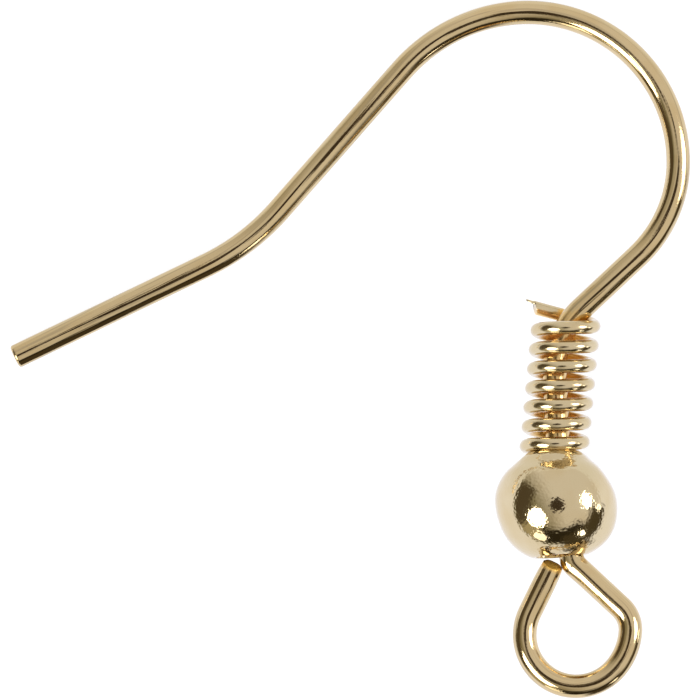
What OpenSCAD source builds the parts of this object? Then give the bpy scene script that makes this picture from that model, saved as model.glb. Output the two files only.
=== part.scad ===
// Ear wire: a fish-hook of round wire that ends in an eye, with a ball and a wire coil threaded on its shank.
// All lengths are in millimetres and all angles in degrees.

/* [Wire] */
// Thickness of the ear wire
wire_d = 0.6; // [0.5:0.02:0.7]
// Rounding of the rim at the free end and at the end of the eye
wire_lip = 0.08; // [0.02:0.01:0.15]
// Length by which the outer half of the free end stands out, left by the cutter
nip_step = 0.02; // [0.02:0.01:0.1]

/* [Ball] */
// Width of the ball across its axis
ball_d = 3.02; // [2.5:0.02:3.7]
// Length of the ball between its two flat ends
ball_len = 2.56; // [2.2:0.02:3]
// Width of the flat round each end of the hole
ball_end_d = 1.34; // [1.26:0.02:1.6]
// Width of the hole through the ball
ball_hole_d = 1.2; // [0.9:0.02:1.24]
// Lean of the ball to the left, against the side of the photo
ball_lean = 4.06; // [0:0.1:8]

/* [Coil] */
// Thickness of the wire of the coil
coil_wire_d = 0.34; // [0.26:0.02:0.4]
// Width of the bore of the coil
coil_bore_d = 1.06; // [0.96:0.02:1.2]
// Rise of the coil in one turn
coil_pitch = 0.484; // [0.42:0.01:0.6]
// Number of strands across the front of the coil
coil_strands = 7; // [4:1:9]
// How far the foot of the coil runs round behind the first strand
foot_turn = 40; // [20:5:70]
// Slope of the last turn, which climbs away from the rest
tail_slope = 12; // [8:1:16]
// How far the last turn runs round the back
tail_turn = 110; // [95:5:120]
// Length of the straight stub that ends the coil
tail_stub = 0.78; // [0.4:0.02:0.9]
// How much longer the upper edge of the stub is than the lower edge
tail_slant = 0.25; // [0.1:0.01:0.3]

/* [Shank] */
// Radius of the slight bend over the ball
kink_r = 2; // [1.5:0.1:4]
// Angle of the slight bend over the ball
kink_deg = 4.4; // [2:0.1:6]
// Radius of the bend inside the top of the coil
drop_r = 2.1; // [1.8:0.1:2.6]
// Angle of the bend inside the top of the coil
drop_deg = 49.6; // [40:0.5:55]
// Straight between that bend and the arch
drop_len = 1.92; // [1.2:0.05:2.6]

/* [Arch] */
// Radius of the near side of the arch
near_r = 3.26; // [3:0.02:4]
// Angle of the near side of the arch
near_deg = 49; // [40:0.5:60]
// Radius of the top of the arch
top_r = 3.8; // [3.4:0.02:4.4]
// Angle of the top of the arch
top_deg = 94.4; // [85:0.2:100]
// Radius of the far side of the arch
far_r = 4.22; // [3.8:0.02:5]
// Angle of the far side of the arch
far_deg = 42.2; // [35:0.2:50]

/* [Free end] */
// Straight from the arch to the outward bend
slope_len = 4.69; // [3.6:0.05:5.8]
// Radius of the outward bend
tip_r = 5.63; // [4:0.05:8]
// Angle of the outward bend
tip_deg = 23.4; // [15:0.2:30]
// Straight end that goes through the ear
tip_len = 5.3; // [4:0.05:6.4]

/* [Eye] */
// Radius of the bend under the ball
neck_r = 0.5; // [0.4:0.01:0.6]
// Angle of the bend under the ball
neck_deg = 39.8; // [36:0.2:44]
// Straight side of the eye
side_len = 1.48; // [1.3:0.02:1.7]
// Radius of the first part of the round of the eye
turn_r = 0.75; // [0.7:0.02:0.9]
// Angle of the first part of the round of the eye
turn_deg = 50.6; // [48:0.1:55]
// Radius of the bottom of the eye
low_r = 1.57; // [1.4:0.02:1.7]
// Angle of the bottom of the eye
low_deg = 35.9; // [33:0.1:39]
// Radius of the far side of the eye
round_r = 1.288; // [1.2:0.005:1.4]
// Angle of the far side of the eye
round_deg = 166.5; // [160:0.5:168]
// Straight end of the eye, under the ball
end_len = 1.3; // [1:0.02:1.4]

/* [Hidden] */
// Smoothness of the round shapes
$fn = 48;
// Space left where two pieces touch in the real thing
gap = 0.02;
// The wire is built of lengths that are slim and full by turns. The slim ones reach into their neighbours.
lap = 0.01;
lap_step = 0.002;

wire_r = wire_d / 2;
ball_r = ball_d / 2;
coil_wire_r = coil_wire_d / 2;

// The side of the ball is an arc whose middle lies a little off the axis, so that the flats come out right.
ball_off = (ball_d * ball_d - ball_end_d * ball_end_d - ball_len * ball_len) / (4 * (ball_d - ball_end_d));
ball_side_r = ball_r - ball_off;

// The wire lies against the right side of the hole under the ball, and half way there over the ball.
ball_play = (ball_hole_d - wire_d) / 2 - gap;
wire_lean = atan(ball_play / 2 / ball_len);
wire_start = [ball_play, -ball_len / 2, 90 + wire_lean];

// The coil stands askew: its foot lies to the left of the shank and its top to the right of it.
coil_r = (coil_bore_d + coil_wire_d) / 2;
coil_play = (coil_bore_d - wire_d) / 2 - gap;
coil_askew = atan(2 * coil_play / ((coil_strands - 1) * coil_pitch));
coil_lean = kink_deg - wire_lean + coil_askew;
ring_r = sqrt(coil_r * coil_r + coil_pitch * coil_pitch / 16);
ring_tilt = atan(coil_pitch / 4 / coil_r);
foot_drop = coil_pitch / 4 * (1 - cos(foot_turn)) * cos(coil_lean) - coil_r * cos(foot_turn) * sin(coil_lean);
coil_seat = ball_len / 2 + gap + coil_wire_r + foot_drop;

// Where the slight bend over the ball ends: sideways, up, heading.
shank = turned(moved(wire_start, ball_len / cos(wire_lean)), kink_r, -kink_deg);
coil_foot = [shank[0] + (coil_seat - shank[1]) / tan(shank[2]) - coil_play / 2, coil_seat];
coil_heading = 90 - coil_lean;
coil_top = coil_foot + (coil_strands - 0.75) * coil_pitch * [cos(coil_heading), sin(coil_heading)];

// The shank bends so that it passes through the middle of the coil's top strand.
top_from = [coil_top[0] - shank[0], coil_top[1] - shank[1]];
top_along = top_from[0] * cos(shank[2]) + top_from[1] * sin(shank[2]);
top_aside = top_from[0] * sin(shank[2]) - top_from[1] * cos(shank[2]);
shank_len = top_along - sqrt(top_aside * (2 * drop_r - top_aside));

// Each row is a straight and the bend after it: length, radius, angle. Left is positive.
hook_rows = [
    [ball_len / cos(wire_lean), kink_r, -kink_deg],
    [shank_len, drop_r, -drop_deg],
    [drop_len, near_r, near_deg],
    [0, top_r, top_deg],
    [0, far_r, far_deg],
    [slope_len, tip_r, -tip_deg]
];
eye_rows = [
    [0, neck_r, neck_deg],
    [side_len, turn_r, -turn_deg],
    [0, low_r, -low_deg],
    [0, round_r, -round_deg]
];

// A pose is sideways, up, heading. It is moved along a straight or turned along a bend.
function moved(p, l) = [p[0] + l * cos(p[2]), p[1] + l * sin(p[2]), p[2]];
function turned(p, r, a) = [
    p[0] + sign(a) * r * (sin(p[2] + a) - sin(p[2])),
    p[1] - sign(a) * r * (cos(p[2] + a) - cos(p[2])),
    p[2] + a
];
function after(p, row) = turned(moved(p, row[0]), row[1], row[2]);
function pose(p, rows, i) = i == 0 ? p : after(pose(p, rows, i - 1), rows[i - 1]);
function along(p, rows) = [
    for (i = [0 : len(rows) - 1])
        for (t = [0 : 0.02 : 1])
            turned(moved(pose(p, rows, i), rows[i][0]), rows[i][1], rows[i][2] * t)
];
function upright(p) = [
    p[0] * cos(ball_lean) - p[1] * sin(ball_lean),
    p[0] * sin(ball_lean) + p[1] * cos(ball_lean)
];

// The whole rests on the ball, on the free end and on the far side of the arch.
eye_start = [wire_start[0], wire_start[1], wire_start[2] - 180];
hook_points = [for (p = along(wire_start, hook_rows)) upright(p)];
eye_points = [for (p = along(eye_start, eye_rows)) upright(p)];
tip_start = pose(wire_start, hook_rows, len(hook_rows));
tip_point = upright(moved(tip_start, tip_len));
rest_turn = max([for (p = hook_points) atan2(p[1] - tip_point[1], p[0] - tip_point[0])]);
rest_line = [cos(rest_turn), sin(rest_turn)];
rest_rise = [sin(rest_turn), -cos(rest_turn)];
rest_tilt = asin((wire_r - ball_r) / (tip_point * rest_rise));

function lowered(p) = p + (p * rest_rise) * (cos(rest_tilt) - 1) * rest_rise;
outline = [for (p = concat(hook_points, eye_points)) lowered(p)];
outline_x = [for (p = outline) p[0]];
outline_y = [for (p = outline) p[1]];
tip_left = lowered(tip_point)[0] - wire_r * abs(sin(tip_start[2] + ball_lean));
middle_x = (tip_left + max(outline_x) + wire_r) / 2;
middle_y = (min(outline_y) + max(outline_y)) / 2;

// Puts a shape drawn round the ball's axis where it rests.
module laid() {
    translate([-middle_x, -middle_y, ball_r])
        rotate(a = -rest_tilt, v = [rest_line[0], rest_line[1], 0])
            rotate([0, 0, ball_lean])
                children();
}

// A straight of the wire along X.
module straight(l, slim) {
    translate([slim ? -lap : 0, 0, 0])
        rotate([0, 90, 0])
            cylinder(h = slim ? l + 2 * lap : l, d = slim ? wire_d : wire_d + lap_step);
}

// A bend of the wire that starts along X.
module bend(r, a, slim) {
    more = slim ? lap / r * 180 / PI : 0;
    translate([0, sign(a) * r, 0])
        rotate([0, 0, (a > 0 ? -90 : 90 + a) - more])
            rotate_extrude(angle = abs(a) + 2 * more)
                translate([r, 0])
                    circle(d = slim ? wire_d : wire_d + lap_step);
}

// A straight of the wire along X whose far end has a rounded rim.
module last_straight(l) {
    translate([-lap, 0, 0])
        rotate([0, 90, 0])
            rotate_extrude()
                union() {
                    square([wire_r - wire_lip, l + lap]);
                    square([wire_r, l + lap - wire_lip]);
                    translate([wire_r - wire_lip, l + lap - wire_lip])
                        circle(r = wire_lip);
                }
}

// The wire along the rows from the origin. What is passed in goes on its end, which needs a slim piece.
module run(rows, slim, i = 0) {
    if (i < len(rows)) {
        if (rows[i][0] > 0) {
            straight(rows[i][0], slim);
        }
        bend_slim = rows[i][0] > 0 ? !slim : slim;
        translate([rows[i][0], 0, 0]) {
            bend(rows[i][1], rows[i][2], bend_slim);
            translate([0, sign(rows[i][2]) * rows[i][1], 0])
                rotate([0, 0, rows[i][2]])
                    translate([0, -sign(rows[i][2]) * rows[i][1], 0])
                        run(rows, !bend_slim, i + 1)
                            children();
        }
    } else {
        children();
    }
}

// The free end, whose inner half is cut a little shorter.
module free_end() {
    difference() {
        last_straight(tip_len);
        translate([tip_len - nip_step, 0, -wire_d])
            cube([1, 1, 2 * wire_d]);
    }
}

// Hook, shank and eye in one wire.
module ear_wire() {
    color([0.86, 0.74, 0.5])
        laid()
            translate([wire_start[0], wire_start[1], 0])
                union() {
                    rotate([0, 0, wire_start[2]])
                        run(hook_rows, true)
                            free_end();
                    rotate([0, 0, eye_start[2]])
                        run(eye_rows, false)
                            last_straight(end_len);
                }
}

// Drilled ball with a flat round each end of its hole.
module ball() {
    color([0.86, 0.74, 0.5])
        laid()
            rotate([-90, 0, 0])
                rotate_extrude()
                    intersection() {
                        translate([ball_off, 0])
                            circle(r = ball_side_r);
                        translate([ball_hole_d / 2, -ball_len / 2])
                            square([ball_d, ball_len]);
                    }
}

// Part of a ring of the coil from the angle "from" on, behind the axis or in front of it.
module ring(height, tilt, from, angle, side) {
    translate([0, height, 0])
        rotate([0, 0, tilt])
            rotate([90 * side, 0, 0])
                rotate([0, 0, from])
                    rotate_extrude(angle = angle)
                        translate([ring_r, 0])
                            circle(d = coil_wire_d);
}

// The last turn of the coil from its right side round the back, and the stub cut off at a slant.
module tail() {
    translate([coil_r, (coil_strands - 0.5) * coil_pitch, 0])
        rotate([0, 0, -tail_slope])
            rotate([-90, 0, 0])
                translate([-ring_r, 0, 0]) {
                    rotate_extrude(angle = tail_turn)
                        translate([ring_r, 0])
                            circle(d = coil_wire_d);
                    rotate([0, 0, tail_turn])
                        translate([ring_r, 0, 0])
                            stub();
                }
}

// The stub along Y, longest on the side that faces up the coil.
module stub() {
    difference() {
        rotate([-90, 0, 0])
            cylinder(h = tail_stub, d = coil_wire_d);
        translate([0, tail_stub - tail_slant, -coil_wire_r])
            rotate([-atan(tail_slant / coil_wire_d), 0, 0])
                translate([-1, 0, -1])
                    cube(2);
    }
}

// Wire coil, drawn with its axis along Y and its first strand starting at the left at height 0.
module coil() {
    color([0.86, 0.72, 0.46])
        laid()
            translate([coil_foot[0], coil_foot[1], 0])
                rotate([0, 0, -coil_lean])
                    union() {
                        ring(-coil_pitch / 4, -ring_tilt, 180 - foot_turn, foot_turn, -1);
                        for (i = [0 : coil_strands - 1]) {
                            ring((i + 0.25) * coil_pitch, ring_tilt, 0, 180, 1);
                        }
                        for (i = [0 : coil_strands - 2]) {
                            ring((i + 0.75) * coil_pitch, -ring_tilt, 0, 180, -1);
                        }
                        tail();
                    }
}

ear_wire();
ball();
coil();
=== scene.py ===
"""Ear wire with a ball and a coil: polished pale gold metal on a white table, seen from straight above."""

import math

import bmesh
import bpy
from bpy.props import FloatProperty, FloatVectorProperty, IntProperty, PointerProperty
from mathutils import Matrix, Vector


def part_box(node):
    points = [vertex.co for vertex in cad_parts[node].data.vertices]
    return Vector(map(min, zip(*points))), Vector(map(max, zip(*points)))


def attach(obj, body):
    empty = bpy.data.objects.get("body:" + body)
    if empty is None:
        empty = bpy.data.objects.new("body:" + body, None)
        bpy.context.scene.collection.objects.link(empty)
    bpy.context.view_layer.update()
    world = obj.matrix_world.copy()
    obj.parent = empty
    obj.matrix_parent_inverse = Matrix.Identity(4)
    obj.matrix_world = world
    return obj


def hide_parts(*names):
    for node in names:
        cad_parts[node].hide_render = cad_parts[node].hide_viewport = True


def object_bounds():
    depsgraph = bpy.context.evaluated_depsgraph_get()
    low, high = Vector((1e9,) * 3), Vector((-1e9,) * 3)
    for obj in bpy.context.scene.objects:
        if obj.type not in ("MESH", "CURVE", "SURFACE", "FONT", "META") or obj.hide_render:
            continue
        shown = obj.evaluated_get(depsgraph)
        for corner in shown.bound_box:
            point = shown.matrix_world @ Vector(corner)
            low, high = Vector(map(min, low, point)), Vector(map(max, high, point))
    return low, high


bl_info = {
    "name": "Ear wire with ball and coil",
    "version": (1, 0, 0),
    "blender": (4, 5, 0),
    "location": "View3D > Sidebar > Ear wire",
    "description": "Builds a fish-hook ear wire with its ball, its coil and a white table",
    "category": "Add Mesh",
}

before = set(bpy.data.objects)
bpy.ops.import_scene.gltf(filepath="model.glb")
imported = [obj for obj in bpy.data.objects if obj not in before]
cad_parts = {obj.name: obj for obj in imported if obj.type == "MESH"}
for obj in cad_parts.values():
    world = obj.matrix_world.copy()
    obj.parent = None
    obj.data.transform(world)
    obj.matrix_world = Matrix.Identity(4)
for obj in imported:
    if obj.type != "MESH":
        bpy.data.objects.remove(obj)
CAD_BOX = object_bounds()

MM = 0.001
TURN = 2 * math.pi

# The lengths below are in millimetres and the angles in degrees, unless a comment says otherwise.
# What is kept free round the shank inside the ball and the coil. Points nearer than SAME become one, and
# a point nearer than NEAR to a level is on it.
GAP = 0.02
SAME = 1e-5
NEAR = 1e-4
# Steps along a straight and round a bend, and the points to a bend that is only worked out.
STRAIGHT_STEP = 0.4
BEND_STEP = 2.5
BEND_POINTS = 50
# Rounded rims: their segments, and the angle in radians past which an edge is sharp.
LIP_SEGMENTS = 4
SHARP = 0.5
# A face with more sides than these is a wire's flat end, or a part of one that has been cut.
FLAT_SIDES = 8
CUT_FLAT_SIDES = 5
# How many radii of a wire from its axis still belong to it.
WIRE_REACH = 1.1

# One stretch of a wire: a straight, then a bend. A bend to the left is positive.
HOOK_ROUTE = (
    {"straight": 1.84, "radius": 2.1, "angle": -49.6},
    {"straight": 1.92, "radius": 3.26, "angle": 49},
    {"straight": 0, "radius": 3.8, "angle": 94.4},
    {"straight": 0, "radius": 4.22, "angle": 42.2},
    {"straight": 4.69, "radius": 5.63, "angle": -23.25},
)
EYE_ROUTE = (
    {"straight": 0, "radius": 0.5, "angle": 39.8},
    {"straight": 1.48, "radius": 0.75, "angle": -50.6},
    {"straight": 0, "radius": 1.57, "angle": -35.9},
    {"straight": 0, "radius": 1.288, "angle": -166.5},
)
WIRE_SIDES = 40
# The straight at each end: its even steps, and the length of the step after them.
TIP_STEPS = 12
TIP_LAST = 0.11
EYE_STEPS = 3
EYE_LAST = 0.1
# The groove across the free end's cut. A point nearer than snap to one of its lines is on it.
TIP_NICK = {"offset": 0.055, "width": 0.05, "depth": 0.06, "snap": 0.004}
# The wedge that ends the eye: how far its ridge falls back at the sides, and how much it is pinched over how
# many radii of the wire.
EYE_WEDGE = {"length": 0.2, "lip": 0.06, "fall": 0.4, "pinch": 0.2, "reach": 1.8}
# How much painted orange reflection the shank gets inside the coil, standing in for light thrown back by the
# coil, and how many of its radii to each side it is looked for.
SHANK_PAINTED_REFLECTION = 0.3
SHANK_SIDE = 3

BALL_SIDES = 128
BALL_ROWS = 64
BALL_LIP = 0.028
# Round the hole: the wall that no dent reaches, what still counts as the bore, and how far short of the
# flats the painted orange reflection inside the bore stops.
BALL_WALL = 0.05
BORE_SKIN = 0.001
BORE_START = 0.02
# A shallow neck near the ball's upper end, and how that end rises, more so on the left.
BALL_NECK = {"depth": 0.05, "height": 1.06, "spread": 0.15}
BALL_CROWN = {"rise": 0.06, "slant": 0.035}
# Where the ball is dented or swollen: compass direction, angle up from the level, height and spread.
BALL_DENTS = (
    {"direction": 30, "lift": 0, "height": -0.068, "spread": 20},
    {"direction": 122, "lift": 0, "height": -0.1, "spread": 10},
    {"direction": 163, "lift": 0, "height": 0.05, "spread": 18},
    {"direction": 230, "lift": 0, "height": 0.02, "spread": 24},
    {"direction": -34, "lift": 0, "height": 0.06, "spread": 24},
    {"direction": 78, "lift": 47, "height": -0.05, "spread": 9},
    {"direction": 98, "lift": 47, "height": -0.05, "spread": 9},
)

COIL_SIDES = 28
COIL_STEP = 6
TAIL_STEPS = 18
STUB_STEPS = 6
FOOT_LIP = 0.03
STUB_LIP = 0.015
# How far the stub's cut slants, where the painted orange reflection on its underside starts, and how strong
# that is.
STUB_SLANT = 0.045
STUB_UNDERSIDE = {"start": 0.02, "reflection_share": 0.6}
# The share of the end's half height over which the spur starts, its length, and how it thins in two steps.
SPUR = {"level": 0.5, "length": 0.2}
SPUR_STEPS = ({"share": 0.35, "thin": 0.9}, {"share": 0.65, "thin": 0.65})

# Depth and size of the pits, depth of the drawing lines, and a factor on the roughness.
WIRE_POLISH = {"pits": 0.0007, "grain": 0.06, "lines": 0.008, "gloss": 1.0}
BALL_POLISH = {"pits": 0.005, "grain": 0.07, "lines": 0.0, "gloss": 1.1}
COIL_POLISH = {"pits": 0.0012, "grain": 0.05, "lines": 0.0, "gloss": 1.9}
# How many drawing lines lie on one radius of the wire, how long they are, and the size of the patches where
# colour and polish change. Then the detail of the pits' noise and of the other two.
LINES_ON_RADIUS = 4.5
LINE_LENGTH = 12
PATCH = 0.9
PIT_DETAIL = 0.5
BROAD_DETAIL = 2.0
# What the plating's colour is multiplied by in warmer patches and in drawing lines, and between which
# values of their noise that sets in.
WARMER = (0.97, 0.94, 0.88)
WARM_EDGE = (0.4, 0.65)
SCORED = (0.78, 0.78, 0.78)
SCORE_EDGE = (0.48, 0.66)
# The least share of the roughness and what a patch adds to it, then what metal with painted orange
# reflection loses in metallic and gains in roughness.
ROUGH_LEAST = 0.6
ROUGH_SPREAD = 0.8
PAINTED_REFLECTION_METAL_LOSS = 0.55
PAINTED_REFLECTION_ROUGH_GAIN = 0.15

TABLE_SIZE = 4000
TABLE_DROP = 0.004
TABLE_GLOW = (0.75, 0.76, 0.78)
TABLE_ROUGH = 0.9
# Lamps: compass direction, angle from straight up, width and height as seen from the ball, and brightness.
LAMPS = (
    {"name": "main_box", "compass": 214, "from_top": 48, "wide": 37, "high": 34, "glow": 6.5},
    {"name": "side_box", "compass": 9, "from_top": 59, "wide": 28, "high": 24, "glow": 5.5},
    {"name": "low_right", "compass": -51, "from_top": 80, "wide": 11, "high": 13, "glow": 3.5},
    {"name": "low_left", "compass": 245, "from_top": 76, "wide": 22, "high": 18, "glow": 2.0},
    {"name": "far_right", "compass": -3, "from_top": 85, "wide": 13, "high": 10, "glow": 2.5},
)
LAMP_AWAY = 250
# The room is dim at the front left and bright elsewhere. White comes up from under the table's level,
# brighter in front than behind, and the camera is a dark spot straight above. An edge says between which
# values of a direction's x, y or z, or of their slant, one tone passes into the next.
ROOM_DIM = (0.25, 0.23, 0.14)
ROOM_BRIGHT = (0.83, 0.82, 0.84)
ROOM_SLANT = (0.9, 0.43)
ROOM_EDGE = (-0.75, 0.15)
BELOW_FRONT = (1.08, 1.12, 1.28)
BELOW_BEHIND = (0.93, 0.95, 1.0)
BELOW_EDGE = (0.1, 0.8)
LEVEL_EDGE = (0.03, -0.06)
CAMERA_SPOT = (0.06, 0.045, 0.03)
SPOT_EDGE = (0.965, 0.976)
# Parts of the room: compass direction of the middle, half the width, from where to where down, and the tone.
ROOM_PARTS = (
    {"compass": 281, "half": 40, "from_top": 52, "to": 87, "tone": (0.03, 0.024, 0.012)},
    {"compass": 221, "half": 24, "from_top": 64, "to": 88, "tone": (0.5, 0.45, 0.3)},
    {"compass": -66, "half": 14, "from_top": 69, "to": 118, "tone": (0.07, 0.055, 0.03)},
    {"compass": -30, "half": 28, "from_top": 68, "to": 101, "tone": (0.08, 0.065, 0.035)},
    {"compass": 177, "half": 34, "from_top": 50, "to": 88, "tone": (0.1, 0.08, 0.05)},
)
PART_EDGE = 7

# The photograph: its width and scale in pixels, where the ball's middle is in it, and the height that has
# this scale. The clip is in metres.
PHOTO = {"width": 700, "per_mm": 40, "ball_across": 556.4, "ball_down": 504.8, "level": 1.2}
CAMERA = {"lens": 600, "sensor": 36, "clip": (0.01, 10)}


class EarWireSizes(bpy.types.PropertyGroup):
    """Sizes that the pieces share."""

    wire_d: FloatProperty(
        name="Wire", description="Thickness of the ear wire", default=0.6 * MM, unit="LENGTH")
    lip: FloatProperty(
        name="Lip", description="Rounding of the free end's rim", default=0.07 * MM, unit="LENGTH")
    tip_len: FloatProperty(
        name="Free end", description="Straight free end", default=5.34 * MM, unit="LENGTH")
    end_len: FloatProperty(
        name="Eye end", description="Straight end of the eye", default=1.3 * MM, unit="LENGTH")
    ball_d: FloatProperty(
        name="Ball", description="Width of the ball", default=3.02 * MM, unit="LENGTH")
    ball_len: FloatProperty(
        name="Ball length", description="Between its flats", default=2.56 * MM, unit="LENGTH")
    ball_end_d: FloatProperty(
        name="Flat", description="Width of each flat", default=1.34 * MM, unit="LENGTH")
    ball_hole_d: FloatProperty(
        name="Hole", description="Hole through the ball", default=1.2 * MM, unit="LENGTH")
    ball_lean: FloatProperty(
        name="Lean", description="Lean of the ball", default=math.radians(4.06), unit="ROTATION")
    kink_r: FloatProperty(
        name="Kink", description="Radius of the bend over the ball", default=2 * MM, unit="LENGTH")
    kink_deg: FloatProperty(
        name="Kink angle", description="Bend over the ball", default=math.radians(4.4), unit="ROTATION")
    coil_wire_d: FloatProperty(
        name="Coil wire", description="Thickness of the coil's wire", default=0.34 * MM, unit="LENGTH")
    coil_bore_d: FloatProperty(
        name="Coil bore", description="Width of its bore", default=1.06 * MM, unit="LENGTH")
    coil_pitch: FloatProperty(
        name="Coil pitch", description="Rise in one turn", default=0.484 * MM, unit="LENGTH")
    coil_strands: IntProperty(
        name="Strands", description="Strands across its front", default=7)
    coil_seat: FloatProperty(
        name="Coil seat", description="Height of its start over the ball", default=0.1294 * MM,
        unit="LENGTH")
    coil_tip: FloatProperty(
        name="Coil tip", description="Tip of its upper end towards the camera", default=math.radians(3.5),
        unit="ROTATION")
    foot_turn: FloatProperty(
        name="Foot", description="Foot behind the first strand", default=math.radians(8), unit="ROTATION")
    tail_slope: FloatProperty(
        name="Tail slope", description="Slope of the stub", default=math.radians(9), unit="ROTATION")
    tail_rise: FloatProperty(
        name="Tail rise", description="Rise of the last turn", default=0.238 * MM, unit="LENGTH")
    tail_turn: FloatProperty(
        name="Tail turn", description="Sweep of the last turn", default=math.radians(110), unit="ROTATION")
    tail_stub: FloatProperty(
        name="Stub", description="Straight that ends the coil", default=0.69 * MM, unit="LENGTH")


class EarWireFinish(bpy.types.PropertyGroup):
    """Colours and polish, and the colour of the painted reflection."""

    gold: FloatVectorProperty(
        name="Gold", description="Colour of the ball and the coil", default=(0.69, 0.56, 0.335),
        subtype="COLOR")
    wire_gold: FloatVectorProperty(
        name="Wire gold", description="Colour of the wire", default=(0.7, 0.54, 0.295), subtype="COLOR")
    # Painted reflection: an orange colour inside the pieces and on the eye's cut, standing in for light
    # thrown back and forth between the gold surfaces.
    inner: FloatVectorProperty(
        name="Inside", description="Dull metal inside the pieces and on the eye's cut",
        default=(1.0, 0.58, 0.11), subtype="COLOR")
    rough: FloatProperty(
        name="Roughness", description="Polish of the plating", default=0.09, min=0, max=1, subtype="FACTOR")
    table: FloatVectorProperty(
        name="Table", description="Colour of the table", default=(0.4, 0.4, 0.4), subtype="COLOR")


def mm(length):
    """A length in millimetres."""
    return length / MM


def once(things):
    """The things in their order, each of them once."""
    return list(dict.fromkeys(things))


def ahead(heading):
    return Vector((math.cos(heading), math.sin(heading), 0))


def leftward(heading):
    return Vector((-math.sin(heading), math.cos(heading), 0))


class Pen:
    """Draws a ring of edges through straights and bends in the XY plane."""

    def __init__(self, bm, edges, at, heading):
        self.bm = bm
        self.edges = edges
        self.at = at.copy()
        self.heading = heading

    def _spin(self, **way):
        made = bmesh.ops.spin(self.bm, geom=self.edges, axis=(0, 0, 1), **way)
        self.edges = edges_of(made["geom_last"])

    def straight(self, length, steps=1):
        if length <= 0:
            return
        step = ahead(self.heading) * (length / steps)
        self._spin(cent=(0, 0, 0), dvec=step, angle=0, steps=steps)
        self.at += step * steps

    def bend(self, radius, angle):
        centre = self.at + leftward(self.heading) * (math.copysign(1, angle) * radius)
        steps = max(2, math.ceil(abs(angle) / math.radians(BEND_STEP)))
        self._spin(cent=centre, angle=angle, steps=steps)
        self.at = centre + Matrix.Rotation(angle, 3, "Z") @ (self.at - centre)
        self.heading += angle

    def follow(self, route):
        for row in route:
            self.straight(row["straight"], max(1, round(row["straight"] / STRAIGHT_STEP)))
            self.bend(row["radius"], math.radians(row["angle"]))


def stepped(at, heading, route):
    """Points along a route, for finding what it rests on, and its last point and heading."""
    points = []
    for row in route:
        angle = math.radians(row["angle"])
        at = at + row["straight"] * ahead(heading)
        centre = at + math.copysign(1, angle) * row["radius"] * leftward(heading)
        for i in range(BEND_POINTS + 1):
            turned = Matrix.Rotation(angle * i / BEND_POINTS, 3, "Z")
            points.append(centre + turned @ (at - centre))
        at = points[-1]
        heading += angle
    return points, at, heading


def ball_middle():
    """The middle of the frame's ball, in metres."""
    low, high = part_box("ball")
    return (Vector(low) + Vector(high)) / 2


class Layout:
    """Where the pieces lie on each other and on the table, worked out from their sizes."""

    def __init__(self, sizes):
        self.wire_r = mm(sizes.wire_d) / 2
        self.ball_r = mm(sizes.ball_d) / 2
        self.ball_half = mm(sizes.ball_len) / 2
        self.coil_wire_r = mm(sizes.coil_wire_d) / 2
        self.coil_r = (mm(sizes.coil_bore_d) + mm(sizes.coil_wire_d)) / 2
        self.pitch = mm(sizes.coil_pitch)
        play = (mm(sizes.ball_hole_d) - mm(sizes.wire_d)) / 2 - GAP
        wire_lean = math.atan(play / 2 / (2 * self.ball_half))
        self.start = Vector((play, -self.ball_half, 0))
        self.heading = math.pi / 2 + wire_lean
        ball_pass = 2 * self.ball_half / math.cos(wire_lean)
        kink = {"straight": ball_pass, "radius": mm(sizes.kink_r), "angle": -math.degrees(sizes.kink_deg)}
        self.hook_route = (kink, *HOOK_ROUTE)
        _, shank, shank_heading = stepped(self.start, self.heading, (kink,))
        coil_play = (mm(sizes.coil_bore_d) - mm(sizes.wire_d)) / 2 - GAP
        askew = math.atan(2 * coil_play / ((sizes.coil_strands - 1) * self.pitch))
        self.coil_lean = sizes.kink_deg - wire_lean + askew
        seat = self.ball_half + mm(sizes.coil_seat)
        aside = shank.x + (seat - shank.y) / math.tan(shank_heading) - coil_play / 2
        self.coil_foot = Vector((aside, seat, 0))
        self.upright = Matrix.Rotation(sizes.ball_lean, 4, "Z")
        self.laid = self._rest(mm(sizes.tip_len))

    def _rest(self, tip_len):
        """Lays the hook on its free end, its arch's far side and the ball, where the frame has the ball."""
        points, last, heading = stepped(self.start, self.heading, self.hook_route)
        points = [self.upright @ p for p in points]
        tip = self.upright @ (last + tip_len * ahead(heading))
        turn = max(math.atan2(p.y - tip.y, p.x - tip.x) for p in points)
        down = Vector((math.sin(turn), -math.cos(turn), 0))
        tilt = math.asin((self.wire_r - self.ball_r) / tip.dot(down))
        ball = ball_middle()
        place = Matrix.Translation((ball.x, ball.y, self.ball_r * MM)) @ Matrix.Scale(MM, 4)
        return place @ Matrix.Rotation(-tilt, 4, ahead(turn)) @ self.upright


def verts_of(geom):
    return once(v for g in geom for v in g.verts)


def edges_of(geom):
    return [g for g in geom if isinstance(g, bmesh.types.BMEdge)]


def middle_of(verts):
    return sum((v.co for v in verts), Vector()) / len(verts)


def ring(bm, radius, sides, matrix):
    """A circle of edges whose axis is along the matrix's X."""
    made = bmesh.ops.create_circle(bm, cap_ends=False, radius=radius, segments=sides)
    turned = matrix @ Matrix.Rotation(math.pi / 2, 4, "Y")
    bmesh.ops.transform(bm, matrix=turned, verts=made["verts"])
    return once(e for v in made["verts"] for e in v.link_edges)


def round_edges(bm, edges, width):
    bmesh.ops.bevel(
        bm, geom=edges, offset=width, offset_type="OFFSET", segments=LIP_SEGMENTS, profile=0.5,
        affect="EDGES", material=-1, clamp_overlap=True)


def round_rims(bm, faces, width):
    """Rounds the sharp edges of some faces."""
    bmesh.ops.recalc_face_normals(bm, faces=bm.faces)
    edges = once(e for f in faces for e in f.edges)
    round_edges(bm, [e for e in edges if e.calc_face_angle(0) > SHARP], width)


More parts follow.
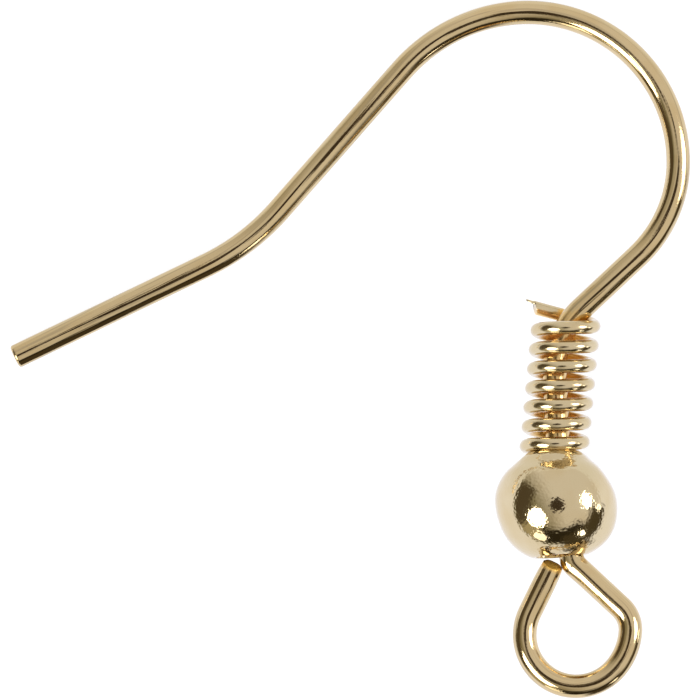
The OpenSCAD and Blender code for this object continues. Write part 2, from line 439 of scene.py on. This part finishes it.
def cap(bm, edges, width):
    """Closes the open end of a wire with a face whose rim is rounded, and returns the face."""
    face = bmesh.ops.contextual_create(bm, geom=edges)["faces"][0]
    middle = face.calc_center_median()
    round_rims(bm, [face], width)
    flats = (f for f in bm.faces if len(f.verts) > FLAT_SIDES)
    return min(flats, key=lambda f: (f.calc_center_median() - middle).length)


def nick(bm, face, along, across, offset, width, depth, snap):
    """Cuts a shallow groove through an end face, as the cutter left it."""
    middle = face.calc_center_median() + across * offset
    geom = [face, *face.edges, *face.verts]
    for side in (-1, 0, 1):
        line = middle + across * (side * width)
        cut = bmesh.ops.bisect_plane(bm, geom=geom, dist=snap, plane_co=line, plane_no=across)
        geom = once([*geom, *cut["geom"]])
    for v in (g for g in geom if isinstance(g, bmesh.types.BMVert) and g.is_valid):
        off = abs((v.co - middle).dot(across)) / width
        v.co -= along * (depth * max(0, 1 - off))


def spur(bm, face, along, up, level, length):
    """Draws the part of an end face over a level out into a thin spur, as blunt nippers do."""
    middle = face.calc_center_median()
    radius = max((v.co - middle).dot(up) for v in face.verts)
    geom = [face, *face.edges, *face.verts]
    line = middle + up * (radius * level)
    bmesh.ops.bisect_plane(bm, geom=geom, dist=NEAR, plane_co=line, plane_no=up)
    near = [f for f in bm.faces if (f.calc_center_median() - middle).length < radius * WIRE_REACH]
    flats = (f for f in near if len(f.verts) > CUT_FLAT_SIDES)
    part = max(flats, key=lambda f: f.calc_center_median().dot(up))
    for step in SPUR_STEPS:
        part = bmesh.ops.extrude_discrete_faces(bm, faces=[part])["faces"][0]
        top = max((v.co for v in part.verts), key=lambda c: c.dot(up)).copy()
        for v in part.verts:
            v.co = top + (v.co - top) * step["thin"] + along * (length * step["share"])


def wedge(bm, edges, along, inner, length, lip, fall, pinch, reach):
    """Closes the open end of a wire in the XY plane with a blunt wedge, pinched as nippers do, and marks it
    with painted orange reflection.
    """
    across = along.cross(Vector((0, 0, 1)))
    rim = verts_of(edges)
    middle = middle_of(rim)
    radius = (rim[0].co - middle).length
    made = bmesh.ops.extrude_edge_only(bm, edges=edges)["geom"]
    ridge = [g for g in made if isinstance(g, bmesh.types.BMVert)]
    faces = [g for g in made if isinstance(g, bmesh.types.BMFace)]
    for v in (*rim, *ridge):
        high = abs(v.co.z - middle.z) / radius if v in rim else 0
        aside = abs((v.co - middle).dot(across)) / radius
        v.co += along * (length * (1 - high) * (1 - fall * aside**4))
        v[inner] = 1
    for v in ridge:
        v.co.z = middle.z
    bmesh.ops.remove_doubles(bm, verts=rim + ridge, dist=SAME)
    round_rims(bm, [f for f in faces if f.is_valid], lip)
    for v in bm.verts:
        out = v.co - middle
        if out.length < 2 * radius:
            near = max(0, min(1, 1 + (out.dot(along) - length) / (reach * radius)))
            v.co -= across * (out.dot(across) * pinch * near**2)


def link_mesh(bm, name, material):
    """Makes the mesh an object of the scene, at the origin."""
    mesh = bpy.data.meshes.new(name)
    bm.to_mesh(mesh)
    bm.free()
    mesh.materials.append(material)
    made = bpy.data.objects.new(name, mesh)
    bpy.context.scene.collection.objects.link(made)
    return made


def finish_piece(bm, name, matrix, material, node):
    """Puts the mesh in its place, points its faces outwards and hands it to the frame."""
    bmesh.ops.remove_doubles(bm, verts=bm.verts, dist=SAME)
    bmesh.ops.transform(bm, matrix=matrix, verts=bm.verts)
    bmesh.ops.recalc_face_normals(bm, faces=bm.faces)
    for face in bm.faces:
        face.smooth = True
    piece = link_mesh(bm, name, material)
    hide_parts(node)
    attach(piece, "root")


class Value:
    """A number or a vector in a node tree, which can be reckoned with as in Python."""

    def __init__(self, tree, socket):
        self.tree = tree
        self.socket = socket

    def _math(self, operation, *inputs):
        return self.tree.node("ShaderNodeMath", {"operation": operation}, dict(enumerate(inputs)))

    def __add__(self, other):
        return self._math("ADD", self, other)

    __radd__ = __add__

    def __sub__(self, other):
        return self._math("SUBTRACT", self, other)

    def __rsub__(self, other):
        return self._math("SUBTRACT", other, self)

    def __mul__(self, other):
        return self._math("MULTIPLY", self, other)

    __rmul__ = __mul__

    def __truediv__(self, other):
        return self._math("DIVIDE", self, other)

    def __rtruediv__(self, other):
        return self._math("DIVIDE", other, self)

    def root(self):
        """Its square root."""
        return self._math("SQRT", self)

    def step(self, low, high):
        """0 under low, 1 over high and smooth between; it falls if low is the greater."""
        inputs = {"Value": self, "From Min": min(low, high), "From Max": max(low, high)}
        if low > high:
            inputs.update({"To Min": 1.0, "To Max": 0.0})
        return self.tree.node("ShaderNodeMapRange", {"interpolation_type": "SMOOTHSTEP"}, inputs)

    def parts(self):
        """Its x, y and z."""
        split = self.tree.node("ShaderNodeSeparateXYZ", inputs={0: self}).socket.node
        return [Value(self.tree, socket) for socket in split.outputs]


class Tree:
    """A node tree that is emptied and built up."""

    def __init__(self, owner):
        owner.use_nodes = True
        self.nodes = owner.node_tree.nodes
        self.links = owner.node_tree.links
        self.nodes.clear()

    def node(self, kind, settings=None, inputs=None, output=0):
        """A node with its settings and its sockets' values or links, as the value of one of its outputs."""
        made = self.nodes.new(kind)
        for key, value in (settings or {}).items():
            setattr(made, key, value)
        for key, value in (inputs or {}).items():
            if isinstance(value, Value):
                self.links.new(value.socket, made.inputs[key])
            else:
                made.inputs[key].default_value = value
        return Value(self, made.outputs[output]) if len(made.outputs) else None

    def noise(self, place, size, detail):
        return self.node("ShaderNodeTexNoise", inputs={"Vector": place, "Scale": 1 / size, "Detail": detail})

    def mix(self, factor, first, second):
        """Two colours mixed by a factor."""
        first = (*first, 1) if isinstance(first, tuple) else first
        second = (*second, 1) if isinstance(second, tuple) else second
        return self.node("ShaderNodeMix", {"data_type": "RGBA"}, {0: factor, 6: first, 7: second}, output=2)


def times(colour, factors):
    return tuple(c * f for c, f in zip(colour, factors))


def gold_material(name, finish, gold, pits, grain, lines, gloss):
    """Polished plating with faint pits and drawing lines, and painted orange reflection, less metallic and
    rougher, where a piece is marked with it.
    """
    material = bpy.data.materials.new(name)
    tree = Tree(material)
    gold = tuple(gold)
    place = tree.node("ShaderNodeTexCoord", output=3)
    fine = tree.noise(place, grain * MM, PIT_DETAIL)
    broad = tree.noise(place, PATCH * MM, BROAD_DETAIL)
    height = fine * (pits * MM)
    colour = tree.mix(broad.step(*WARM_EDGE), gold, times(gold, WARMER))
    if lines:
        around = tree.node("ShaderNodeAttribute", {"attribute_name": "around"}, output=1)
        slow = tree.node(
            "ShaderNodeVectorMath", {"operation": "SCALE"}, {0: place, "Scale": 1 / (LINE_LENGTH * MM)})
        both = tree.node("ShaderNodeVectorMath", {"operation": "ADD"}, {0: around, 1: slow})
        drawn = tree.noise(both, 1 / LINES_ON_RADIUS, BROAD_DETAIL)
        height = height + drawn * (lines * MM)
        colour = tree.mix(drawn.step(*SCORE_EDGE), colour, times(gold, SCORED))
    bump = tree.node("ShaderNodeBump", inputs={"Height": height, "Strength": 1.0, "Distance": 1.0})
    base = finish.rough * gloss
    rough = broad * (base * ROUGH_SPREAD) + base * ROUGH_LEAST
    # The marked parts get painted orange reflection: colour standing in for light thrown between the gold
    # surfaces, with less metallic and more roughness.
    inner = tree.node("ShaderNodeAttribute", {"attribute_name": "inner"}, output=2)
    shader = tree.node("ShaderNodeBsdfPrincipled", inputs={
        "Base Color": tree.mix(inner, colour, tuple(finish.inner)),
        "Metallic": 1 - inner * PAINTED_REFLECTION_METAL_LOSS,
        "Roughness": rough + inner * PAINTED_REFLECTION_ROUGH_GAIN,
        "Normal": bump})
    tree.node("ShaderNodeOutputMaterial", inputs={"Surface": shader})
    return material


class EARWIRE_OT_wire(bpy.types.Operator):
    """Hook, shank and eye in one round wire"""

    bl_idname = "earwire.wire"
    bl_label = "Ear wire"

    def execute(self, context):
        sizes, finish = context.scene.ear_wire_sizes, context.scene.ear_wire_finish
        layout = Layout(sizes)
        bm = bmesh.new()
        around = bm.verts.layers.float_vector.new("around")
        inner = bm.verts.layers.float.new("inner")
        place = Matrix.Translation(layout.start) @ Matrix.Rotation(layout.heading, 4, "Z")
        start = ring(bm, layout.wire_r, WIRE_SIDES, place)
        for v in verts_of(start):
            v[around] = place.inverted() @ v.co / layout.wire_r
        hook = Pen(bm, start, layout.start, layout.heading)
        hook.follow(layout.hook_route)
        hook.straight(mm(sizes.tip_len) - TIP_LAST, TIP_STEPS)
        hook.straight(TIP_LAST)
        end = cap(bm, hook.edges, mm(sizes.lip))
        nick(bm, end, ahead(hook.heading), leftward(hook.heading), **TIP_NICK)
        eye = Pen(bm, start, layout.start, layout.heading - math.pi)
        eye.follow(EYE_ROUTE)
        eye.straight(mm(sizes.end_len) - EYE_WEDGE["length"], EYE_STEPS)
        eye.straight(EYE_LAST)
        wedge(bm, eye.edges, ahead(eye.heading), inner, **EYE_WEDGE)
        # The shank inside the coil gets painted orange reflection, standing in for light thrown back by the
        # coil round it.
        low, high = layout.coil_foot.y, layout.coil_foot.y + layout.pitch * sizes.coil_strands
        for v in bm.verts:
            if low < v.co.y < high and abs(v.co.x) < SHANK_SIDE * layout.wire_r:
                v[inner] = SHANK_PAINTED_REFLECTION
        material = gold_material("wire_gold", finish, finish.wire_gold, **WIRE_POLISH)
        finish_piece(bm, "polished_wire", layout.laid, material, "ear_wire")
        return {"FINISHED"}


class EARWIRE_OT_ball(bpy.types.Operator):
    """Drilled ball, a little dented on its sides"""

    bl_idname = "earwire.ball"
    bl_label = "Ball"

    def execute(self, context):
        sizes, finish = context.scene.ear_wire_sizes, context.scene.ear_wire_finish
        layout = Layout(sizes)
        bm = bmesh.new()
        inner = bm.verts.layers.float.new("inner")
        half = layout.ball_half
        hole_r = mm(sizes.ball_hole_d) / 2
        self.turn_out(bm, layout, mm(sizes.ball_end_d) / 2, hole_r)
        for row in BALL_DENTS:
            self.dent(bm, row, hole_r + BALL_WALL)
        for v in bm.verts:
            out = v.co.xz.length
            # The bore gets painted orange reflection, standing in for light thrown about inside the hole.
            v[inner] = out < hole_r + BORE_SKIN and abs(v.co.y) < half - BORE_START
            if out > hole_r + BALL_WALL:
                off = (v.co.y - BALL_NECK["height"]) / BALL_NECK["spread"]
                v.co.xz = v.co.xz * (1 - BALL_NECK["depth"] * math.exp(-off * off) / out)
            rise = BALL_CROWN["rise"] - BALL_CROWN["slant"] * v.co.x
            v.co.y += rise * max(0, v.co.y / half) ** 3
        material = gold_material("ball_gold", finish, finish.gold, **BALL_POLISH)
        finish_piece(bm, "polished_ball", layout.laid, material, "ball")
        return {"FINISHED"}

    def turn_out(self, bm, layout, end_r, hole_r):
        """Turns the ball round its hole: a bulging side, two flats and the bore, with rounded rims."""
        half = layout.ball_half
        off = (layout.ball_r**2 - end_r**2 - half**2) / (2 * (layout.ball_r - end_r))
        side_turn = math.atan2(half, end_r - off)
        low = bm.verts.new((end_r, -half, 0))
        side = bmesh.ops.spin(
            bm, geom=[low], cent=(off, 0, 0), axis=(0, 0, 1), angle=2 * side_turn, steps=BALL_ROWS)
        high = [g for g in side["geom_last"] if isinstance(g, bmesh.types.BMVert)][0]
        hole_low, hole_high = bm.verts.new((hole_r, -half, 0)), bm.verts.new((hole_r, half, 0))
        for pair in ((high, hole_high), (hole_high, hole_low), (hole_low, low)):
            bm.edges.new(pair)
        bmesh.ops.spin(
            bm, geom=[*bm.verts, *bm.edges], cent=(0, 0, 0), axis=(0, 1, 0), angle=TURN,
            steps=BALL_SIDES, use_merge=True)
        bmesh.ops.remove_doubles(bm, verts=bm.verts, dist=SAME)
        rims = [e for e in bm.edges if all(abs(abs(v.co.y) - half) < NEAR for v in e.verts)
                and abs(e.verts[0].co.xz.length - e.verts[1].co.xz.length) < NEAR]
        round_edges(bm, rims, BALL_LIP)

    def dent(self, bm, row, clear):
        """Dents or swells the ball outside its wall round the hole."""
        compass, lift = math.radians(row["direction"]), math.radians(row["lift"])
        towards = ahead(compass) * math.cos(lift) + Vector((0, 0, math.sin(lift)))
        for v in bm.verts:
            if v.co.xz.length > clear:
                out = v.co.normalized()
                far = out.angle(towards) / math.radians(row["spread"])
                v.co += out * (row["height"] * math.exp(-far * far))


class EARWIRE_OT_coil(bpy.types.Operator):
    """Coil of thin wire with a loose last turn and a nipped end"""

    bl_idname = "earwire.coil"
    bl_label = "Coil"

    def execute(self, context):
        sizes, finish = context.scene.ear_wire_sizes, context.scene.ear_wire_finish
        layout = Layout(sizes)
        bm = bmesh.new()
        inner = bm.verts.layers.float.new("inner")
        start, edges = self.wind(bm, sizes, layout, inner)
        root = middle_of(verts_of(edges))
        slope = sizes.tail_slope
        up = Vector((math.sin(slope), math.cos(slope), 0))
        level = Matrix.Rotation(sizes.tail_turn, 3, "Y") @ Vector((0, 0, -1))
        along = level * math.cos(slope) + Vector((0, math.sin(slope), 0))
        step = along * (mm(sizes.tail_stub) / STUB_STEPS)
        made = bmesh.ops.spin(
            bm, geom=edges, cent=(0, 0, 0), axis=(0, 0, 1), dvec=step, angle=0, steps=STUB_STEPS)
        edges = edges_of(made["geom_last"])
        cap(bm, start, FOOT_LIP)
        self.slant(edges, layout, along, up)
        # The stub's underside gets painted orange reflection, standing in for light thrown between the gold
        # surfaces.
        for v in bm.verts:
            out = v.co - root
            far = out.dot(along)
            beside = (out - along * far).length
            if far > STUB_UNDERSIDE["start"] and beside < WIRE_REACH * layout.coil_wire_r:
                v[inner] = STUB_UNDERSIDE["reflection_share"] * max(0, -out.dot(up) / layout.coil_wire_r)
        spur(bm, cap(bm, edges, STUB_LIP), along, up, **SPUR)
        middle = Matrix.Translation((0, layout.pitch * sizes.coil_strands / 2, 0))
        tip = middle @ Matrix.Rotation(sizes.coil_tip, 4, "X") @ middle.inverted()
        lean = Matrix.Translation(layout.coil_foot) @ Matrix.Rotation(-layout.coil_lean, 4, "Z") @ tip
        material = gold_material("coil_gold", finish, finish.gold, **COIL_POLISH)
        finish_piece(bm, "polished_coil", layout.laid @ lean, material, "coil")
        return {"FINISHED"}

    def wind(self, bm, sizes, layout, inner):
        """Winds the even turns and the loose last one, and returns the edges of the first and last ring."""
        turn = sizes.foot_turn + TURN * (sizes.coil_strands - 0.5)
        sunk = Matrix.Translation((0, -layout.pitch * sizes.foot_turn / TURN, 0))
        behind = Matrix.Rotation(-sizes.foot_turn, 4, "Y") @ Matrix.Translation((-layout.coil_r, 0, 0))
        place = sunk @ behind @ Matrix.Rotation(-math.pi / 2, 4, "Y")
        start = ring(bm, layout.coil_wire_r, COIL_SIDES, place)
        # The inner side of the coil's wire gets painted orange reflection, standing in for light thrown
        # between the strands.
        for v in verts_of(start):
            v[inner] = max(0, (layout.coil_r - v.co.xz.length) / layout.coil_wire_r)
        steps = round(turn / math.radians(COIL_STEP))
        made = bmesh.ops.spin(
            bm, geom=start, cent=(0, 0, 0), axis=(0, 1, 0), angle=turn,
            dvec=(0, layout.pitch * turn / TURN / steps, 0), steps=steps)
        made = bmesh.ops.spin(
            bm, geom=edges_of(made["geom_last"]), cent=(0, 0, 0), axis=(0, 1, 0), angle=sizes.tail_turn,
            dvec=(0, mm(sizes.tail_rise) / TAIL_STEPS, 0), steps=TAIL_STEPS)
        return start, edges_of(made["geom_last"])

    def slant(self, edges, layout, along, up):
        """Draws the lower side of the stub's end back, so that its cut slants."""
        end = verts_of(edges)
        middle = middle_of(end)
        for v in end:
            high = (v.co - middle).dot(up) / layout.coil_wire_r
            v.co += along * (STUB_SLANT * (high - 1))


class EARWIRE_OT_stage(bpy.types.Operator):
    """White table, lamps, the room's light and the camera straight above"""

    bl_idname = "earwire.stage"
    bl_label = "Stage"

    def execute(self, context):
        scene = context.scene
        self.table(scene)
        self.room(scene)
        for row in LAMPS:
            self.lamp(scene, row)
        self.camera(scene)
        scene.view_settings.view_transform = "Standard"
        return {"FINISHED"}

    def table(self, scene):
        """A white table just under the pieces. The metal mirrors the white of the room instead of it."""
        material = bpy.data.materials.new("white_table")
        tree = Tree(material)
        shader = tree.node("ShaderNodeBsdfPrincipled", inputs={
            "Base Color": (*scene.ear_wire_finish.table, 1), "Roughness": TABLE_ROUGH,
            "Specular IOR Level": 0.0, "Emission Color": (*TABLE_GLOW, 1), "Emission Strength": 1.0})
        tree.node("ShaderNodeOutputMaterial", inputs={"Surface": shader})
        bm = bmesh.new()
        level = Matrix.Translation((0, 0, CAD_BOX[0].z - TABLE_DROP * MM))
        bmesh.ops.create_grid(bm, x_segments=1, y_segments=1, size=TABLE_SIZE * MM / 2, matrix=level)
        table = link_mesh(bm, "table", material)
        table.visible_glossy = False

    def room(self, scene):
        """The light all round, by the direction that it comes from."""
        world = bpy.data.worlds.new("room")
        scene.world = world
        tree = Tree(world)
        x, y, z = tree.node("ShaderNodeTexCoord", output=0).parts()
        flat = (x * x + y * y).root()
        slant = x * ROOM_SLANT[0] + y * ROOM_SLANT[1]
        seen = tree.mix(slant.step(*ROOM_EDGE), ROOM_DIM, ROOM_BRIGHT)
        below = tree.mix(y.step(*BELOW_EDGE), BELOW_FRONT, BELOW_BEHIND)
        seen = tree.mix(z.step(*LEVEL_EDGE), seen, below)
        edge = math.radians(PART_EDGE)
        for part in ROOM_PARTS:
            compass, half = math.radians(part["compass"]), math.radians(part["half"])
            top, end = math.radians(part["from_top"]), math.radians(part["to"])
            facing = (x * math.cos(compass) + y * math.sin(compass)) / flat
            inside = facing.step(math.cos(half + edge), math.cos(half - edge))
            inside = inside * z.step(math.cos(top - edge), math.cos(top + edge))
            inside = inside * z.step(math.cos(end + edge / 2), math.cos(end - edge / 2))
            seen = tree.mix(inside, seen, part["tone"])
        seen = tree.mix(z.step(*SPOT_EDGE), seen, CAMERA_SPOT)
        shader = tree.node("ShaderNodeBackground", inputs={"Color": seen, "Strength": 1.0})
        tree.node("ShaderNodeOutputWorld", inputs={"Surface": shader})

    def lamp(self, scene, row):
        """A flat oval lamp that faces the ball."""
        away = LAMP_AWAY * MM
        light = bpy.data.lights.new(row["name"], "AREA")
        light.shape = "ELLIPSE"
        light.size = 2 * away * math.tan(math.radians(row["wide"] / 2))
        light.size_y = 2 * away * math.tan(math.radians(row["high"] / 2))
        area = math.pi / 4 * light.size * light.size_y
        light.energy = row["glow"] * math.pi * area
        compass, from_top = math.radians(row["compass"]), math.radians(row["from_top"])
        out = ahead(compass) * math.sin(from_top) + Vector((0, 0, math.cos(from_top)))
        lamp = bpy.data.objects.new(row["name"], light)
        lamp.location = ball_middle() + out * away
        lamp.rotation_mode = "QUATERNION"
        lamp.rotation_quaternion = out.to_track_quat("Z", "Y")
        lamp.visible_camera = False
        scene.collection.objects.link(lamp)

    def camera(self, scene):
        """Straight down from far above, with the ball where the photograph has it."""
        camera = bpy.data.cameras.new("camera")
        camera.lens = CAMERA["lens"]
        camera.sensor_width = CAMERA["sensor"]
        camera.clip_start, camera.clip_end = CAMERA["clip"]
        pixel = MM / PHOTO["per_mm"]
        aside = (PHOTO["ball_across"] - PHOTO["width"] / 2) * pixel
        down = (PHOTO["ball_down"] - PHOTO["width"] / 2) * pixel
        above = PHOTO["width"] * pixel * CAMERA["lens"] / CAMERA["sensor"]
        ball = ball_middle()
        view = bpy.data.objects.new("camera", camera)
        view.location = (ball.x - aside, ball.y + down, PHOTO["level"] * MM + above)
        scene.collection.objects.link(view)
        scene.camera = view


class EARWIRE_PT_panel(bpy.types.Panel):
    """Sidebar panel that lists the pieces"""

    bl_idname = "EARWIRE_PT_panel"
    bl_label = "Ear wire"
    bl_space_type = "VIEW_3D"
    bl_region_type = "UI"
    bl_category = "Ear wire"

    def draw(self, context):
        for operator in OPERATORS:
            self.layout.operator(operator.bl_idname)
        for group in (context.scene.ear_wire_sizes, context.scene.ear_wire_finish):
            for key in group.__annotations__:
                self.layout.prop(group, key)


OPERATORS = (EARWIRE_OT_wire, EARWIRE_OT_ball, EARWIRE_OT_coil, EARWIRE_OT_stage)
CLASSES = (EarWireSizes, EarWireFinish, *OPERATORS, EARWIRE_PT_panel)


def register():
    for cls in CLASSES:
        bpy.utils.register_class(cls)
    bpy.types.Scene.ear_wire_sizes = PointerProperty(type=EarWireSizes)
    bpy.types.Scene.ear_wire_finish = PointerProperty(type=EarWireFinish)


def unregister():
    del bpy.types.Scene.ear_wire_finish
    del bpy.types.Scene.ear_wire_sizes
    for cls in reversed(CLASSES):
        bpy.utils.unregister_class(cls)


def main():
    register()
    for operator in OPERATORS:
        getattr(bpy.ops.earwire, operator.bl_idname.split(".")[1])()


if __name__ == "__main__":
    main()
